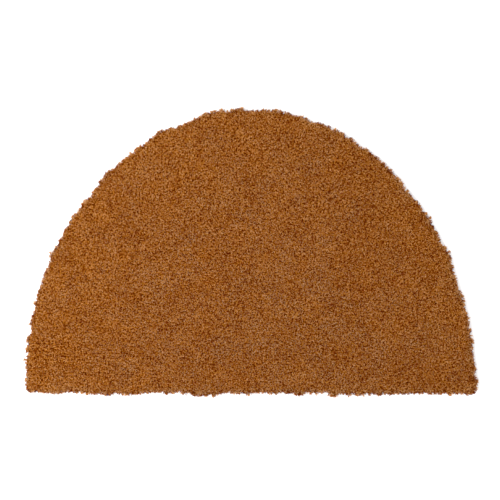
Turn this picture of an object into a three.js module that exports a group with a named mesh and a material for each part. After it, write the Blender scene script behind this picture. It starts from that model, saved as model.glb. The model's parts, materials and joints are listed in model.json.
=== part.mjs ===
/**
 * A half-round coir doormat: stiff coconut fibre cut to an even brush, with no border and no pattern.
 *
 * It is one piece, as the real mat is, so it is one closed solid: a flat underside, a short cut edge, a
 * pile that leans out past that edge all round, and a slightly lumpy top. The pile's cut edge is never
 * a clean line. It breaks into small locks, and the whole line wavers where the knife did.
 *
 * Millimetres, +Z up. The straight edge lies along X at the front (-Y) and the arc is at the back. The
 * origin is on the floor, in the middle of the mat's box.
 */
import * as THREE from 'three';
import { ImprovedNoise } from 'three/addons/math/ImprovedNoise.js';

const { lerp, seededRandom, smoothstep } = THREE.MathUtils;

// The mat's nominal cut
const WIDTH = 700; // along the straight edge
const DEPTH = 440; // from the straight edge to the top of the arc, which is half an ellipse
const CORNER_RADIUS = 8; // where the arc meets the straight edge
const HEIGHT = 16; // from the floor to the cut ends of the pile

// The rim's uneven line: how far apart its random knots lie, and how far they move the line.
const LOCKS = { spacing: 8, reach: 2.8, rise: 1.4 }; // clumps of fibre, which also end high or low
const WAVER = { spacing: 36, reach: 2.8 }; // the run of the cut itself

// The rim's section, from the floor up and onto the pile. inset is measured in from the nominal cut.
// raggedness and unevenness are the shares of the locks' reach and rise that are felt at that height.
const RIM_SECTION = [
  { inset: 4.5, height: 0, raggedness: 0.2, unevenness: 0 }, // edge of the underside
  { inset: 4.0, height: 3, raggedness: 0.25, unevenness: 0.2 }, // cut edge, where the pile starts
  { inset: 0.0, height: 10.8, raggedness: 1, unevenness: 1 }, // furthest reach of the leaning fibres
  { inset: 2.6, height: 14.4, raggedness: 0.8, unevenness: 0.8 }, // worn shoulder
  { inset: 6.5, height: HEIGHT, raggedness: 0.1, unevenness: 0.3 }, // level pile
];

// The top's slow unevenness
const LUMPS = { spacing: 26, height: 1.1 };

// Fineness of the mesh
const RIM_STEP = 4; // between points along the rim
const TOP_STEP = 12; // between points along the rings of the top
const TOP_RINGS = 23; // they shrink onto the top's middle
const TOP_MIDDLE = 0.42; // its share of the depth, from the straight edge

const RANDOM_SEED = 91;
const NOISE_SLICE = 7.5; // the flat slice of solid noise that the lumps are read from
const COIR = { color: 0x915a2a, roughness: 0.95, metalness: 0 };

/** The nominal cut, from the right-hand end of the arc round to the left and back along the front. */
function makeOutline() {
  const halfWidth = WIDTH / 2;
  const cornerAngle = Math.asin(CORNER_RADIUS / DEPTH);
  const cornerCentre = halfWidth * Math.cos(cornerAngle) - CORNER_RADIUS;
  const outline = new THREE.Path();
  outline.absellipse(0, 0, halfWidth, DEPTH, cornerAngle, Math.PI - cornerAngle, false);
  outline.absarc(-cornerCentre, CORNER_RADIUS, CORNER_RADIUS, Math.PI, 1.5 * Math.PI, false);
  outline.lineTo(cornerCentre, 0);
  outline.absarc(cornerCentre, CORNER_RADIUS, CORNER_RADIUS, 1.5 * Math.PI, 2 * Math.PI, false);
  return outline;
}

/** Smooth noise from -1 to 1 along a closed line: a random value at each knot, eased in between. */
function makeLoopNoise(length, spacing) {
  const knots = Math.round(length / spacing);
  const values = Array.from({ length: knots }, () => 2 * seededRandom() - 1);
  return (share) => {
    const place = share * knots;
    const knot = Math.floor(place);
    return lerp(values[knot], values[(knot + 1) % knots], smoothstep(place - knot, 0, 1));
  };
}

/** The point at a share of the way round, moved in from the nominal cut. */
function pointInside(outline, share, inset) {
  const along = outline.getTangent(share);
  const point = outline.getPoint(share);
  return point.add(new THREE.Vector2(-along.y, along.x).multiplyScalar(inset));
}

/** The closed surface, grown ring by ring from the underside's edge up the rim and in over the top. */
class RingSurface {
  constructor() {
    this.positions = [];
    this.triangles = [];
    this.last = null;
  }

  /** Adds a ring of count points, given by pointAt(share), and joins it to the ring before. */
  addRing(count, pointAt) {
    const ring = { first: this.positions.length / 3, count };
    for (let i = 0; i < count; i += 1) {
      this.positions.push(...pointAt(i / count));
    }
    if (this.last) {
      this.stitch(this.last, ring);
    }
    this.last = ring;
  }

  /** Joins two rings, which may differ in their number of points but start at the same place. */
  stitch(outer, inner) {
    let i = 0;
    let j = 0;
    while (i < outer.count || j < inner.count) {
      const a = outer.first + (i % outer.count);
      const b = inner.first + (j % inner.count);
      if (i < outer.count && (i + 1) / outer.count <= (j + 1) / inner.count) {
        i += 1;
        this.triangles.push(a, outer.first + (i % outer.count), b);
      } else {
        j += 1;
        this.triangles.push(a, inner.first + (j % inner.count), b);
      }
    }
  }

  /** Fills a ring with triangles that face up, or down for the underside. */
  fill(ring, facesUp) {
    const contour = Array.from({ length: ring.count }, (_, i) => {
      const at = 3 * (ring.first + i);
      return new THREE.Vector2(this.positions[at], this.positions[at + 1]);
    });
    for (const [a, b, c] of THREE.ShapeUtils.triangulateShape(contour, [])) {
      const corners = facesUp ? [a, b, c] : [a, c, b];
      this.triangles.push(...corners.map((corner) => corner + ring.first));
    }
  }

  toGeometry() {
    const geometry = new THREE.BufferGeometry();
    geometry.setAttribute('position', new THREE.Float32BufferAttribute(this.positions, 3));
    geometry.setIndex(this.triangles);
    return geometry;
  }
}

function makeMatGeometry() {
  seededRandom(RANDOM_SEED);
  const outline = makeOutline();
  const length = outline.getLength();
  const locks = makeLoopNoise(length, LOCKS.spacing);
  const lockEnds = makeLoopNoise(length, LOCKS.spacing);
  const waver = makeLoopNoise(length, WAVER.spacing);
  const lumps = new ImprovedNoise();
  const surface = new RingSurface();

  const rimCount = Math.round(length / RIM_STEP);
  for (const { inset, height, raggedness, unevenness } of RIM_SECTION) {
    surface.addRing(rimCount, (share) => {
      const reach = LOCKS.reach * locks(share) + WAVER.reach * waver(share);
      const point = pointInside(outline, share, inset - raggedness * reach);
      return [point.x, point.y, height + unevenness * LOCKS.rise * lockEnds(share)];
    });
  }
  const underside = { first: 0, count: rimCount };

  const level = RIM_SECTION.at(-1);
  const middle = new THREE.Vector2(0, TOP_MIDDLE * DEPTH);
  for (let ring = 1; ring < TOP_RINGS; ring += 1) {
    const inward = ring / TOP_RINGS;
    const count = Math.round(((1 - inward) * length) / TOP_STEP);
    surface.addRing(count, (share) => {
      const point = pointInside(outline, share, level.inset).lerp(middle, inward);
      const lump = lumps.noise(point.x / LUMPS.spacing, point.y / LUMPS.spacing, NOISE_SLICE);
      return [point.x, point.y, level.height + LUMPS.height * lump];
    });
  }
  surface.fill(surface.last, true);
  surface.fill(underside, false);

  const geometry = surface.toGeometry();
  geometry.computeBoundingBox();
  const centre = geometry.boundingBox.getCenter(new THREE.Vector3());
  return geometry.translate(-centre.x, -centre.y, 0);
}

const coirMat = new THREE.Mesh(makeMatGeometry(), new THREE.MeshStandardMaterial(COIR));
coirMat.name = 'coir_mat';

const doormat = new THREE.Group();
doormat.add(coirMat);

export default doormat;
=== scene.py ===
# %% [markdown]
# # A half-round coir doormat
#
# The mat is one thing only: stiff coconut fibre, cut level into a short dense brush. Everything that
# the eye reads as "coir" comes from the ends of its fibres. They stand at all angles, they lean
# together in small sheaves with dark pits between them, and at the cut edge they fan outwards. So
# this script grows those ends one by one, on a bed that it takes from the packed solid.

# %% Tools, and the packed solid as the frame
import json
import math

import bmesh
import bpy
import numpy as np
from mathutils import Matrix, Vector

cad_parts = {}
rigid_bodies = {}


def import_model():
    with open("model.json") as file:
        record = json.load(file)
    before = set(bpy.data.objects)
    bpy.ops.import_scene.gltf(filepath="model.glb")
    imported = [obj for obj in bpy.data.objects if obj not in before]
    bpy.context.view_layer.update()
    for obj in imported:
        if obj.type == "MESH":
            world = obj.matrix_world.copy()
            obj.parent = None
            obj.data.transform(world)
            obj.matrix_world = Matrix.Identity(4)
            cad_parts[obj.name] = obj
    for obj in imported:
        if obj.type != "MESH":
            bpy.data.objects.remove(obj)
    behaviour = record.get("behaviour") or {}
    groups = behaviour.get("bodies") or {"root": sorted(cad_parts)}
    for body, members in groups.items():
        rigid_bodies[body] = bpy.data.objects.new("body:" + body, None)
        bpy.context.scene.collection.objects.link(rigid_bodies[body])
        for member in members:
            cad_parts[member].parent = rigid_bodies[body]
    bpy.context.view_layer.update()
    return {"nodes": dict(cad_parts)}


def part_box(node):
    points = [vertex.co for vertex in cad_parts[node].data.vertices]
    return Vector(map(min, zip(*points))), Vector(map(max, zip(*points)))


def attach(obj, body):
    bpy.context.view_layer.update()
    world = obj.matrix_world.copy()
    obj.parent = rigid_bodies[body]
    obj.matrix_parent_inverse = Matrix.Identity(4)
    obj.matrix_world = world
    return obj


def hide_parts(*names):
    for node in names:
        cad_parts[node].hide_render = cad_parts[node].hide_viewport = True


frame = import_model()

MM = 0.001
MAT_NODE = "coir_mat"
mat_low, mat_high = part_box(MAT_NODE)
mat_size = mat_high - mat_low
mat_middle = (mat_low + mat_high) / 2
print("solid measures", [round(side / MM, 1) for side in mat_size], "mm")

# %% [markdown]
# ## The camera
#
# The photograph looks straight down from far away: the straight edge and the arc keep their true
# shape, and no side of the mat shows. A long lens from over two metres up does the same. Its height
# follows from one scale, the real width of the mat over its width in pixels.

# %% The photograph's framing
PHOTO_SIDE = 500  # pixels, the photograph is square
CUT_WIDTH = 700 * MM  # between the middles of the mat's ragged ends
CUT_WIDTH_PX = 453
MAT_CENTRE_PX = (251.7, 252.4)  # right and down from the photograph's top left corner
LENS = 100  # millimetres, as is the sensor's width
SENSOR = 36

metres_per_pixel = CUT_WIDTH / CUT_WIDTH_PX
view_width = metres_per_pixel * PHOTO_SIDE
camera_height = mat_size.z + view_width * LENS / SENSOR

camera_data = bpy.data.cameras.new("camera")
camera_data.lens = LENS
camera_data.sensor_width = SENSOR
camera = bpy.data.objects.new("camera", camera_data)
camera.location = (
    mat_middle.x + (PHOTO_SIDE / 2 - MAT_CENTRE_PX[0]) * metres_per_pixel,
    mat_middle.y + (MAT_CENTRE_PX[1] - PHOTO_SIDE / 2) * metres_per_pixel,
    camera_height,
)
bpy.context.scene.collection.objects.link(camera)
bpy.context.scene.camera = camera
print("camera", round(camera_height, 3), "m up, seeing", round(view_width, 4), "m")

# %% [markdown]
# ## Writing node trees as Python
#
# The shaders and the Geometry Nodes below are mostly sums on values, so they are written as sums. A
# `Wire` holds one output of a node, and arithmetic on it adds Math nodes. Without it each sum would
# take four lines, and its meaning would be lost among the links.


# %% A small class for wires
class Wire:
    """One output of a node. Arithmetic on it adds Math nodes."""

    def __init__(self, graph, socket):
        self.graph = graph
        self.socket = socket

    def __add__(self, other):
        return self.graph.math("ADD", self, other)

    def __sub__(self, other):
        return self.graph.math("SUBTRACT", self, other)

    def __rsub__(self, other):
        return self.graph.math("SUBTRACT", other, self)

    def __mul__(self, other):
        return self.graph.math("MULTIPLY", self, other)

    def __truediv__(self, other):
        return self.graph.math("DIVIDE", self, other)

    def __rtruediv__(self, other):
        return self.graph.math("DIVIDE", other, self)

    __radd__ = __add__
    __rmul__ = __mul__


print("a wire can be added, subtracted, multiplied and divided")

# %% [markdown]
# ## Adding every other node
#
# All nodes come from one method, `Graph.add`. It sets the node's settings first, because they decide
# which sockets it has, then the values of its sockets or the wires that lead there. The nodes that are
# needed most have short methods of their own.


# %% A small class for node trees
class Graph:
    """A node tree that is wired by calls."""

    def __init__(self, tree):
        self.tree = tree
        tree.nodes.clear()

    @staticmethod
    def find(sockets, key):
        """A socket by its number, or the first one in use by that name, or just the first in use."""
        if isinstance(key, int):
            return sockets[key]
        return next(s for s in sockets if s.enabled and key in (None, s.name))

    def add(self, kind, sockets=None, settings=None, output=None, stops=None):
        """Adds a node and gives back the Wire of one output, the first in use unless it is named."""
        node = self.tree.nodes.new(kind)
        for name, value in (settings or {}).items():
            setattr(node, name, value)
        for number, (place, colour) in enumerate(stops or ()):
            elements = node.color_ramp.elements
            element = elements[number] if number < len(elements) else elements.new(place)
            element.position = place
            element.color = (*colour, 1.0)
        for key, value in (sockets or {}).items():
            socket = self.find(node.inputs, key)
            if isinstance(value, Wire):
                self.tree.links.new(value.socket, socket)
            else:
                socket.default_value = value
        return Wire(self, self.find(node.outputs, output)) if node.outputs else None

    def math(self, operation, *values):
        return self.add("ShaderNodeMath", dict(enumerate(values)), {"operation": operation})

    def vector(self, operation, *values):
        return self.add("ShaderNodeVectorMath", dict(enumerate(values)), {"operation": operation})

    def scaled(self, vector, factor):
        sockets = {0: vector, "Scale": factor}
        return self.add("ShaderNodeVectorMath", sockets, {"operation": "SCALE"})

    def part(self, vector, axis):
        """The X, Y or Z of a vector or a colour."""
        return self.add("ShaderNodeSeparateXYZ", {0: vector}, output=axis)

    def noise(self, place, size, detail=1.0, output=None):
        """Cloudy noise around 0.5, with clouds of the given size."""
        sockets = {"Vector": place, "Scale": 1 / size, "Detail": detail}
        return self.add("ShaderNodeTexNoise", sockets, output=output)

    def noise_around_zero(self, place, size, detail=1.0):
        """A vector of three such noises, each moved down to lie around 0."""
        noises = self.noise(place, size, detail, output="Color")
        return self.vector("SUBTRACT", noises, (0.5, 0.5, 0.5))


print("a graph's methods are", [name for name in vars(Graph) if not name.startswith("_")])

# %% [markdown]
# ## Coir's finish
#
# Ripe coir runs from dark brown through orange-brown to straw, and a fibre is paler at its cut tip
# than lower down: partly its own colour, partly painted shade of the depth of the pile. Dust greys it
# in patches, most of all behind the middle of the straight edge, where the feet go. So the finish at
# any point of any fibre depends on two numbers, its shade and its dust.
# They are the two axes of the fibres' UV map, so one small picture can serve every fibre. Coir is
# dull, and a gloss would lay a grey film of sky over the dark fibres, so it has none.

# %% The fibres' finish
FIBRE_MAP = "OFBake"  # the UV map of the fibres, under the name that the export bakes through
COIR_SHADES = [  # a shade from 0 to 1, and its colour
    (0.00, (0.125, 0.014, 0.0000)),
    (0.25, (0.245, 0.056, 0.0028)),
    (0.50, (0.375, 0.134, 0.0225)),
    (0.75, (0.485, 0.222, 0.0640)),
    (1.00, (0.595, 0.325, 0.1400)),
]
DUST = (0.28, 0.22, 0.14, 1.0)
FIBRE_ROUGHNESS = 0.7
COIR_GLOSS = 0.0


def new_finish(name):
    finish = bpy.data.materials.new(name)
    finish.use_nodes = True
    return finish, Graph(finish.node_tree)


def end_finish(graph, **sockets):
    """Adds the shader and the output. A socket's name is written with underscores for spaces."""
    values = {name.replace("_", " "): value for name, value in sockets.items()}
    graph.add("ShaderNodeOutputMaterial", {"Surface": graph.add("ShaderNodeBsdfPrincipled", values)})


def make_fibre_finish():
    finish, graph = new_finish("coir_fibre")
    place = graph.add("ShaderNodeUVMap", settings={"uv_map": FIBRE_MAP})
    clean = graph.add("ShaderNodeValToRGB", {"Fac": graph.part(place, "X")}, stops=COIR_SHADES)
    mixed = {"Factor": graph.part(place, "Y"), "A": clean, "B": DUST}
    colour = graph.add("ShaderNodeMix", mixed, {"data_type": "RGBA"})
    end_finish(graph, Base_Color=colour, Roughness=FIBRE_ROUGHNESS, Specular_IOR_Level=COIR_GLOSS)
    return finish


fibre_finish = make_fibre_finish()
print("fibre finish has", len(fibre_finish.node_tree.nodes), "nodes")

# %% [markdown]
# ## The bed's finish
#
# Between the ends of the fibres the eye meets their lower parts, and here and there a pit where it
# sees almost to the roots. Noise as coarse as the sheaves draws both: above its middle it has the
# fibres' own orange-brown, below it falls off to a brown that is nearly black, which is painted shade
# in the pits, and a bump of the same noise sinks the pits.

# %% The bed's finish
MOTTLE = 2.5 * MM  # size of the bed's mottling
MOTTLE_DETAIL = 3.0  # how many finer noises are laid over it
BED_SHADES_WITH_PAINTED_PIT_SHADE = [  # a value of the mottling, and its colour
    # the lowest stop, nearly black, is painted shade in the deep pits
    (0.40, (0.060, 0.008, 0.0000)),
    (0.49, (0.185, 0.049, 0.0016)),
    (0.59, (0.312, 0.115, 0.0165)),
]
BUMP_DEPTH = 1.5 * MM
BUMP_STRENGTH = 0.8
BED_ROUGHNESS = 0.9


def make_bed_finish():
    finish, graph = new_finish("coir_bed")
    place = graph.add("ShaderNodeTexCoord", output="Object")
    mottle = graph.noise(place, MOTTLE, MOTTLE_DETAIL)
    colour = graph.add("ShaderNodeValToRGB", {"Fac": mottle}, stops=BED_SHADES_WITH_PAINTED_PIT_SHADE)
    bump = {"Height": mottle, "Strength": BUMP_STRENGTH, "Distance": BUMP_DEPTH}
    end_finish(
        graph,
        Base_Color=colour,
        Roughness=BED_ROUGHNESS,
        Specular_IOR_Level=COIR_GLOSS,
        Normal=graph.add("ShaderNodeBump", bump),
    )
    return finish


bed_finish = make_bed_finish()
print("bed finish has", len(bed_finish.node_tree.nodes), "nodes")

# %% [markdown]
# ## The bed under the pile
#
# In the real mat the fibres are so close that only their last few millimetres can be told apart, and
# nobody sees what holds them. The bed is the rest of them, in one piece. It is a copy of the packed
# solid, so it has the mat's own wavering outline. Its top is let down and its rim is drawn in, by as
# much as the fibres then stand out of it. The foot of its rim stays bare, as the mat's cut edge, and
# its underside is flat and plain, since the photograph doesn't show one.

# %% The bed's mesh
BED_HEIGHT = 13.5 * MM  # above this the fibres can be told apart
RIM_DEPTH = 1.8 * MM  # how far the bed's rim is drawn in behind the fibres
EDGE_HEIGHT = 2.5 * MM  # the cut edge at the foot stays where it is up to here
EDGE_BLEND = 3.0 * MM  # and the rim is fully drawn in this much higher
WELD_DISTANCE = 0.01 * MM


def welded_mesh(source, name):
    """A copy of a mesh of loose triangles, joined at their shared corners and each cut in four."""
    shape = bmesh.new()
    shape.from_mesh(source)
    bmesh.ops.remove_doubles(shape, verts=shape.verts, dist=WELD_DISTANCE)
    bmesh.ops.subdivide_edges(shape, edges=shape.edges, cuts=1, use_grid_fill=True)
    copy = bpy.data.meshes.new(name)
    shape.to_mesh(copy)
    shape.free()
    return copy


def sink_bed(mesh):
    """Lets the top down to the bed's height and draws the rim in, both fading out at the foot."""
    points = np.empty(len(mesh.vertices) * 3, np.float32)
    normals = np.empty_like(points)
    mesh.vertices.foreach_get("co", points)
    mesh.vertices.foreach_get("normal", normals)
    points = points.reshape(-1, 3)
    normals = normals.reshape(-1, 3)
    above_edge = (points[:, 2] - EDGE_HEIGHT) / (mat_size.z - EDGE_HEIGHT)
    points[:, 2] -= above_edge.clip(0, 1) * (mat_size.z - BED_HEIGHT)
    drawn_in = ((points[:, 2] - EDGE_HEIGHT) / EDGE_BLEND).clip(0, 1) * RIM_DEPTH
    points[:, :2] -= normals[:, :2] * drawn_in[:, None]
    mesh.vertices.foreach_set("co", points.ravel())
    mesh.update()


bed_mesh = welded_mesh(frame["nodes"][MAT_NODE].data, "mat_bed")
sink_bed(bed_mesh)
bed_mesh.materials.clear()
bed_mesh.materials.append(bed_finish)
bed_mesh.shade_smooth()
bed = bpy.data.objects.new("mat_bed", bed_mesh)
bpy.context.scene.collection.objects.link(bed)
print("bed has", len(bed_mesh.polygons), "faces")

# %% [markdown]
# ## One fibre
#
# A coir fibre is a stiff bristle, never quite straight, and cut off blunt. Real ones are about a third
# of a millimetre thick, and there would be millions. Here each stands for a few that cling together,
# and has a handful of faces. A bent spindle has six: three from the buried root to the widest part,
# which is close to the end, and three that close it off. Every shape is one unit wide and one unit
# tall, and the strewing gives it its size. Two numbers go with each of its points for the UV map later
# on: how far outwards it counts as lying, and on which of the fibre's sides.

# %% The fibre shapes
FIBRE_KINDS = 8
FIBRE_SEED = 11
BEND = (0.2, 1.1)  # how far the widest part strays from a straight line, in widths
WIDEST = (0.86, 0.95)  # where that part lies, as a share of the length
HALF_WIDTH = 0.5
OUTWARDS = [0.5, 0.5, 0.5, 0.0, 1.0]  # of the widest part's three points, the root and the tip
SIDES = [-1.0, 0.0, 1.0, 0.0, 0.0]  # of the same five points
rng = np.random.default_rng(FIBRE_SEED)


def store_values(mesh, name, values):
    """Gives each point of a mesh its own number under a name."""
    mesh.attributes.new(name, "FLOAT", "POINT").data.foreach_set("value", values)


def make_fibre(name):
    bend = rng.uniform(*BEND)
    turn = rng.uniform(0, math.tau)
    widest = rng.uniform(*WIDEST)
    corners = [turn + math.tau * third / 3 for third in range(3)]
    ring = [(bend + HALF_WIDTH * math.cos(a), HALF_WIDTH * math.sin(a), widest) for a in corners]
    root, tip = 3, 4
    pairs = [(0, 1), (1, 2), (2, 0)]
    faces = [(root, b, a) for a, b in pairs] + [(a, b, tip) for a, b in pairs]
    mesh = bpy.data.meshes.new(name)
    mesh.from_pydata([*ring, (0, 0, 0), (0, 0, 1)], [], faces)
    mesh.materials.append(fibre_finish)
    store_values(mesh, "outwards", OUTWARDS)
    store_values(mesh, "side", SIDES)
    return bpy.data.objects.new(name, mesh)


fibre_kinds = bpy.data.collections.new("fibre_kinds")
for number in range(FIBRE_KINDS):
    fibre_kinds.objects.link(make_fibre(f"fibre_kind_{number + 1}"))

# %% [markdown]
# ## What the strewing is told
#
# Geometry Nodes strew the fibres over the bed, because there are far too many to place by hand and all
# follow the same few rules. Noise groups them on three scales: sheaves, whose fibres lean together and
# share a shade, tufts, which fan out more or less than others, and patches a few centimetres wide.
# These are the tree's inputs, with their kinds and values. Leans are measured against a fibre that
# stands straight up and counts as 1, shades and dust run from 0 to 1, and places and sizes are in
# metres.

# %% The tree's inputs
LOWEST_ROOT = 2.0 * MM  # no fibre is rooted below this
FAR = 1.0  # further from the origin than any of the mat
PILE = {
    "Fibres": ("Collection", fibre_kinds),
    "Finish": ("Material", fibre_finish),
    "Seed": ("Int", 3),
    "Fibres per square metre": ("Float", 0.555e6),
    "More at the rim": ("Float", 1.5),
    "Lowest root": ("Float", LOWEST_ROOT),
    "From X": ("Float", -FAR),
    "To X": ("Float", FAR),
    "Bed height": ("Float", BED_HEIGHT),
    "Rise": ("Float", mat_size.z - BED_HEIGHT),
    "Uneven cut": ("Float", 0.10),
    "Thickness": ("Float", 1.1 * MM),
    "Sheaf size": ("Float", 2.6 * MM),
    "Tuft size": ("Float", 5 * MM),
    "Patch size": ("Float", 36 * MM),
    "Splay": ("Float", 0.38),
    "Tuft splay": ("Float", 5.0),
    "Sheaf lean": ("Float", 1.3),
    "Stray lean": ("Float", 0.35),
    "Mean shade": ("Float", 0.525),
    "Own shade": ("Float", 0.6),
    "Sheaf shade": ("Float", 2.8),
    "Tuft shade": ("Float", 1.2),
    "Patch shade": ("Float", 0.65),
    "Rim shade": ("Float", 0.45),
    "Rim tuft shade": ("Float", 3.0),
    # painted shade: fibres low on the rim are darkened as if shadowed by the pile above them
    "Foot shade": ("Float", -1.8),
    "Trodden place": ("Vector", (0.02, -0.19, 0.0)),
    "Trodden reach": ("Vector", (0.36, 0.42, 1.0)),
    "Trodden shade": ("Float", -0.12),
    "Trodden dust": ("Float", 0.62),
    "Patch dust": ("Float", 1.9),
    # grey of the dust colour mixed into that painted shade low on the rim
    "Foot dust": ("Float", 0.5),
}
print("pile rises", round(PILE["Rise"][1] / MM, 1), "mm above its bed")

# %% [markdown]
# ## An empty tree
#
# The tree is then built in the order of the work: rooting, leaning, sizing, planting, colouring. Two
# helpers come first. One asks for an input. The other draws a random value for each fibre, and every
# use of it has a seed of its own, so that a thick fibre isn't always a pale one too.

# %% The tree and its two helpers
DRAWS = ("lean", "length", "thickness", "spin", "kind", "shade")

strew = Graph(bpy.data.node_groups.new("strew_pile", "GeometryNodeTree"))
interface = strew.tree.interface
interface.new_socket("Geometry", in_out="OUTPUT", socket_type="NodeSocketGeometry")
interface.new_socket("Bed", in_out="INPUT", socket_type="NodeSocketGeometry")
for name, (kind, _) in PILE.items():
    interface.new_socket(name, in_out="INPUT", socket_type="NodeSocket" + kind)
given = strew.tree.nodes.new("NodeGroupInput")


def ask(name):
    return Wire(strew, given.outputs[name])


def draw(what, low, high, kind="FLOAT"):
    limits = {"Min": low, "Max": high, "Seed": ask("Seed") + (DRAWS.index(what) + 1)}
    return strew.add("FunctionNodeRandomValue", limits, {"data_type": kind})


print("tree asks for a bed and", len(PILE), "other values")

# %% [markdown]
# ## Roots
#
# Roots fall anywhere on the bed but on its cut edge and its underside. Over the rim the fibres fan
# out, which would thin the pile there, so the steeper the bed is, the closer they are rooted.

# %% Strewing the roots
place = strew.add("GeometryNodeInputPosition")
facing_up = strew.math("MAXIMUM", strew.part(strew.add("GeometryNodeInputNormal"), "Z"), 0.0)
closer = 1 + ask("More at the rim") * (1 - facing_up)
scatter = {
    "Mesh": ask("Bed"),
    "Selection": strew.math("GREATER_THAN", strew.part(place, "Z"), ask("Lowest root")),
    "Density": ask("Fibres per square metre") * closer,
    "Seed": ask("Seed"),
}
roots = strew.add("GeometryNodeDistributePointsOnFaces", scatter)
normal = Wire(strew, roots.socket.node.outputs["Normal"])
print("with the roots the tree has", len(strew.tree.nodes), "nodes")

# %% [markdown]
# ## Lean and length
#
# A brush's fibres stand upright in the middle and fan out at the rim, so each starts from straight up
# and is pushed along the bed's normal. Its sheaf pushes it sideways, and so does a stray lean of its
# own. All are cut off at about one height above the bed, so a fibre that leans has to be longer.

# %% Leaning and sizing the fibres
STRAIGHT_UP = (0.0, 0.0, 1.0)
DOUBLED_SIDEWAYS = (2.0, 2.0, 0.0)  # noise around 0 reaches to 0.5, and a random lean to 1
LEAST_RISE = 0.5  # a fibre that rises by less than this share of its length isn't lengthened further
THICKNESS_SPREAD = (0.75, 1.2)

sheaf = strew.noise_around_zero(place, ask("Sheaf size"))
tuft = strew.noise(place, ask("Tuft size")) - 0.5
shared_lean = strew.vector("MULTIPLY", sheaf, DOUBLED_SIDEWAYS)
own_lean = draw("lean", (-1.0, -1.0, 0.0), (1.0, 1.0, 0.0), "FLOAT_VECTOR")
lean = strew.scaled(normal, ask("Splay") + ask("Tuft splay") * tuft)
lean = strew.vector("ADD", lean, strew.scaled(shared_lean, ask("Sheaf lean")))
lean = strew.vector("ADD", lean, strew.scaled(own_lean, ask("Stray lean")))
stand = strew.vector("NORMALIZE", strew.vector("ADD", lean, STRAIGHT_UP))

length = ask("Rise") / strew.math("MAXIMUM", strew.part(stand, "Z"), LEAST_RISE)
length = length * (1 + ask("Uneven cut") * draw("length", -1.0, 1.0))
thickness = ask("Thickness") * draw("thickness", *THICKNESS_SPREAD)
print("with the leans and sizes the tree has", len(strew.tree.nodes), "nodes")

# %% [markdown]
# ## Planting
#
# Each root gets one of the fibre shapes, stood along its lean and spun about itself at random. The bed
# is strewn the same way for every strip of the mat, and a strip keeps only the fibres in its own range
# of X, because the whole pile would be too heavy for one mesh.

# %% Planting the fibres
stood = strew.add("FunctionNodeAlignRotationToVector", {"Vector": stand}, {"axis": "Z"})
about = {"Axis": STRAIGHT_UP, "Angle": draw("spin", 0.0, math.tau)}
both = {"Rotation": stood, "Rotate By": strew.add("FunctionNodeAxisAngleToRotation", about)}
across = strew.part(place, "X")
past_start = strew.math("GREATER_THAN", across, ask("From X"))
before_end = strew.math("LESS_THAN", across, ask("To X"))
shapes = {"Collection": ask("Fibres"), "Separate Children": True, "Reset Children": True}
plant = {
    "Points": roots,
    "Selection": past_start * before_end,
    "Instance": strew.add("GeometryNodeCollectionInfo", shapes),
    "Pick Instance": True,
    "Instance Index": draw("kind", 0, FIBRE_KINDS - 1, "INT"),
    "Rotation": strew.add("FunctionNodeRotateRotation", both, {"rotation_space": "LOCAL"}),
    "Scale": strew.add("ShaderNodeCombineXYZ", {"X": thickness, "Y": thickness, "Z": length}),
}
pile = strew.add("GeometryNodeInstanceOnPoints", plant)
print("with the planting the tree has", len(strew.tree.nodes), "nodes")

# %% [markdown]
# ## Shade and dust
#
# No two fibres of a coir mat have the same brown, and neighbours are more alike than others. So a
# fibre's shade adds up from its own, its sheaf's, its tuft's and its patch's. Where the mat is trodden
# on it is a little darker. Near the rim the tufts differ more, and low on the rim the fibres get a
# painted shade, dark as if shadowed by the pile above them, which gives the mat its dark outline. Dust
# gathers on what faces up, in patches and where the mat is trodden on, and a little of its grey is
# mixed into the painted shade low on the rim.

# %% Shading and dusting the fibres
PATCH_DETAIL = 3.0  # how many finer noises are laid over the patches

patch = strew.noise_around_zero(place, ask("Patch size"), PATCH_DETAIL)
steep = 1 - strew.part(normal, "Z")
near_rim = strew.math("SQRT", steep)  # reaches further in than the steepness itself
# how low on the rim a root is, which sets the painted shade there
painted_shadow_low_on_rim = steep * (1 - strew.part(place, "Z") / ask("Bed height"))
away = strew.vector("SUBTRACT", place, ask("Trodden place"))
away = strew.vector("LENGTH", strew.vector("DIVIDE", away, ask("Trodden reach")))
trodden = strew.math("MAXIMUM", 1 - away * away, 0.0)

shade = ask("Mean shade") + ask("Own shade") * draw("shade", -1.0, 1.0)
shade = shade + ask("Sheaf shade") * strew.part(sheaf, "Z") + ask("Tuft shade") * tuft
shade = shade + ask("Patch shade") * strew.part(patch, "X")
shade = shade + (ask("Rim shade") + ask("Rim tuft shade") * tuft) * near_rim
# the term low on the rim is painted shade
shade = shade + ask("Foot shade") * painted_shadow_low_on_rim + ask("Trodden shade") * trodden

dust = ask("Patch dust") * strew.part(patch, "Y") + ask("Trodden dust") * trodden
# the term low on the rim greys the painted shade there
dust = dust * (1 - steep) + ask("Foot dust") * painted_shadow_low_on_rim

for name, value in (("shade", shade), ("dust", dust)):
    on_fibres = {"data_type": "FLOAT", "domain": "INSTANCE"}
    store = {"Geometry": pile, "Name": name, "Value": strew.add("ShaderNodeClamp", {"Value": value})}
    pile = strew.add("GeometryNodeStoreNamedAttribute", store, on_fibres)
print("with the shades the tree has", len(strew.tree.nodes), "nodes")

# %% [markdown]
# ## The fibres' UV map
#
# Once the fibres are real geometry, every point of them knows its fibre's shade and dust. The shade
# runs across the map, and is less towards the root, which is partly painted shade of the pile's depth.
# The dust runs up it, and is less towards the root and on a dark fibre; low on the rim it also greys
# the painted shade there. The sides of a fibre are set a hair apart, so that each face has some area
# there to bake.

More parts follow.
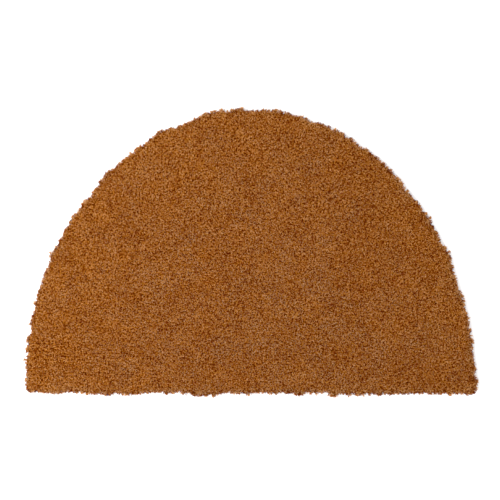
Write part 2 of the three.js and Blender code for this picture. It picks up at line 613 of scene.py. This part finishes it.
# %% Laying the UV map and ending the tree
# painted shade: the darkening towards the root stands partly for shade deep in the pile
ROOT_SHADE_PAINTED_DEPTH = 0.55  # how much of a fibre's shade is left at its root
SIDE_WIDTH = 0.006  # between two sides of a fibre on the map


def carried(name):
    """A value that the fibres' points carry."""
    return strew.add("GeometryNodeInputNamedAttribute", {"Name": name}, {"data_type": "FLOAT"})


pile = strew.add("GeometryNodeRealizeInstances", {"Geometry": pile})
paler_tip_and_painted_root_shade = ROOT_SHADE_PAINTED_DEPTH + (1 - ROOT_SHADE_PAINTED_DEPTH) * carried("outwards")
across_map = carried("shade") * paler_tip_and_painted_root_shade
up_map = carried("dust") * carried("outwards") * carried("shade")
up_map = up_map * (1 - 2 * SIDE_WIDTH) + SIDE_WIDTH * (1 + carried("side"))
spot = strew.add("ShaderNodeCombineXYZ", {"X": across_map, "Y": up_map})
store = {"Geometry": pile, "Name": FIBRE_MAP, "Value": spot}
on_corners = {"data_type": "FLOAT2", "domain": "CORNER"}
pile = strew.add("GeometryNodeStoreNamedAttribute", store, on_corners)
for name in ("shade", "dust", "outwards", "side"):
    pile = strew.add("GeometryNodeRemoveAttribute", {"Geometry": pile, "Name": name})
pile = strew.add("GeometryNodeSetShadeSmooth", {"Geometry": pile})
pile = strew.add("GeometryNodeSetMaterial", {"Geometry": pile, "Material": ask("Finish")})
strew.add("NodeGroupOutput", {0: pile})
print("finished, the tree has", len(strew.tree.nodes), "nodes")

# %% [markdown]
# ## The strips of pile
#
# The mat is a single sheet of pile, so the strips are only a way to share out its weight. Their
# borders fall where each gets the same area of bed to root on. Every strip is grown on a second object
# that has the bed's mesh and is then thrown away, and what stays is a plain mesh.

# %% Growing the strips
STRIPS = 6


def strip_borders(mesh, count):
    """Borders along X that share out the area that fibres are rooted on."""
    areas = np.empty(len(mesh.polygons))
    centres = np.empty(len(mesh.polygons) * 3)
    mesh.polygons.foreach_get("area", areas)
    mesh.polygons.foreach_get("center", centres)
    centres = centres.reshape(-1, 3)
    areas[centres[:, 2] < LOWEST_ROOT] = 0
    order = centres[:, 0].argsort()
    so_far = areas[order].cumsum()
    inner = np.interp(np.arange(1, count) / count * so_far[-1], so_far, centres[order, 0])
    return [-FAR, *inner.tolist(), FAR]


def grow_strip(name, from_x, to_x):
    ground = bpy.data.objects.new(name + "_ground", bed_mesh)
    bpy.context.scene.collection.objects.link(ground)
    modifier = ground.modifiers.new("pile", "NODES")
    modifier.node_group = strew.tree
    chosen = {key: value for key, (_, value) in PILE.items()}
    chosen |= {"From X": from_x, "To X": to_x}
    for socket in interface.items_tree:
        if socket.name in chosen:
            modifier[socket.identifier] = chosen[socket.name]
    grown = ground.evaluated_get(bpy.context.evaluated_depsgraph_get())
    strip = bpy.data.objects.new(name, bpy.data.meshes.new_from_object(grown))
    strip.data.name = name
    bpy.data.objects.remove(ground)
    bpy.context.scene.collection.objects.link(strip)
    return strip


borders = strip_borders(bed_mesh, STRIPS)
strips = [
    grow_strip(f"pile_strip_{number + 1}", borders[number], borders[number + 1])
    for number in range(STRIPS)
]
for shape in list(fibre_kinds.objects):
    bpy.data.objects.remove(shape)
bpy.data.collections.remove(fibre_kinds)
strip_faces = [len(strip.data.polygons) for strip in strips]
print("strips have", strip_faces, "faces,", sum(strip_faces) + len(bed_mesh.polygons), "with the bed")

# %% [markdown]
# ## Joining the pieces to the mat's body
#
# The bed stands in for the packed solid, which is hidden, and the bed and the strips of pile are
# joined to the mat's one body. The mat lies on the floor as it was cut, 0.70 m by 0.44 m, and under
# the arc of half an ellipse its area is pi / 4 of that rectangle.

for piece in (bed, *strips):
    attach(piece, "root")
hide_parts(MAT_NODE)

# %% [markdown]
# ## The floor
#
# The photograph's ground is pure white and nearly without shadow. A pale floor gives the same when it
# is lit past white. It lies a hair below the mat, so that the two never share a face.

# %% The floor
FLOOR_SIDE = 12.0
FLOOR_GAP = 0.3 * MM  # between the floor and the mat
FLOOR_COLOUR = (0.85, 0.85, 0.85, 1.0)
FLOOR_ROUGHNESS = 0.9

floor_finish, floor_graph = new_finish("floor")
end_finish(floor_graph, Base_Color=FLOOR_COLOUR, Roughness=FLOOR_ROUGHNESS)
reach = FLOOR_SIDE / 2
corners = [(-reach, -reach, 0), (reach, -reach, 0), (reach, reach, 0), (-reach, reach, 0)]
floor_mesh = bpy.data.meshes.new("floor")
floor_mesh.from_pydata(corners, [], [(0, 1, 2, 3)])
floor_mesh.materials.append(floor_finish)
floor = bpy.data.objects.new("floor", floor_mesh)
floor.location.z = -FLOOR_GAP
bpy.context.scene.collection.objects.link(floor)
print("floor is", FLOOR_SIDE, "m wide")

# %% [markdown]
# ## Lamp and sky
#
# A bright even sky does most of the lighting, and leaves hardly a shadow. One broad lamp high on the
# left makes the mat a touch brighter on that side, as it is in the photograph.

# %% The lamp and the sky
SKY_STRENGTH = 1.45
LAMP_PLACE = (-0.9, -0.1, 1.5)
LAMP_WIDTH = 1.4
LAMP_WATTS = 44

lamp_data = bpy.data.lights.new("lamp", "AREA")
lamp_data.shape = "DISK"
lamp_data.size = LAMP_WIDTH
lamp_data.energy = LAMP_WATTS
lamp = bpy.data.objects.new("lamp", lamp_data)
lamp.location = LAMP_PLACE
lamp.rotation_euler = (mat_middle - lamp.location).to_track_quat("-Z", "Y").to_euler()
bpy.context.scene.collection.objects.link(lamp)

sky = bpy.data.worlds.new("sky")
sky.use_nodes = True
sky_sockets = sky.node_tree.nodes["Background"].inputs
sky_sockets["Color"].default_value = (1.0, 1.0, 1.0, 1.0)
sky_sockets["Strength"].default_value = SKY_STRENGTH
bpy.context.scene.world = sky
bpy.context.scene.view_settings.view_transform = "Standard"
print("lamp", LAMP_WATTS, "W, sky", SKY_STRENGTH)

# %% [markdown]
# The dressed mat may not outgrow the solid by much.
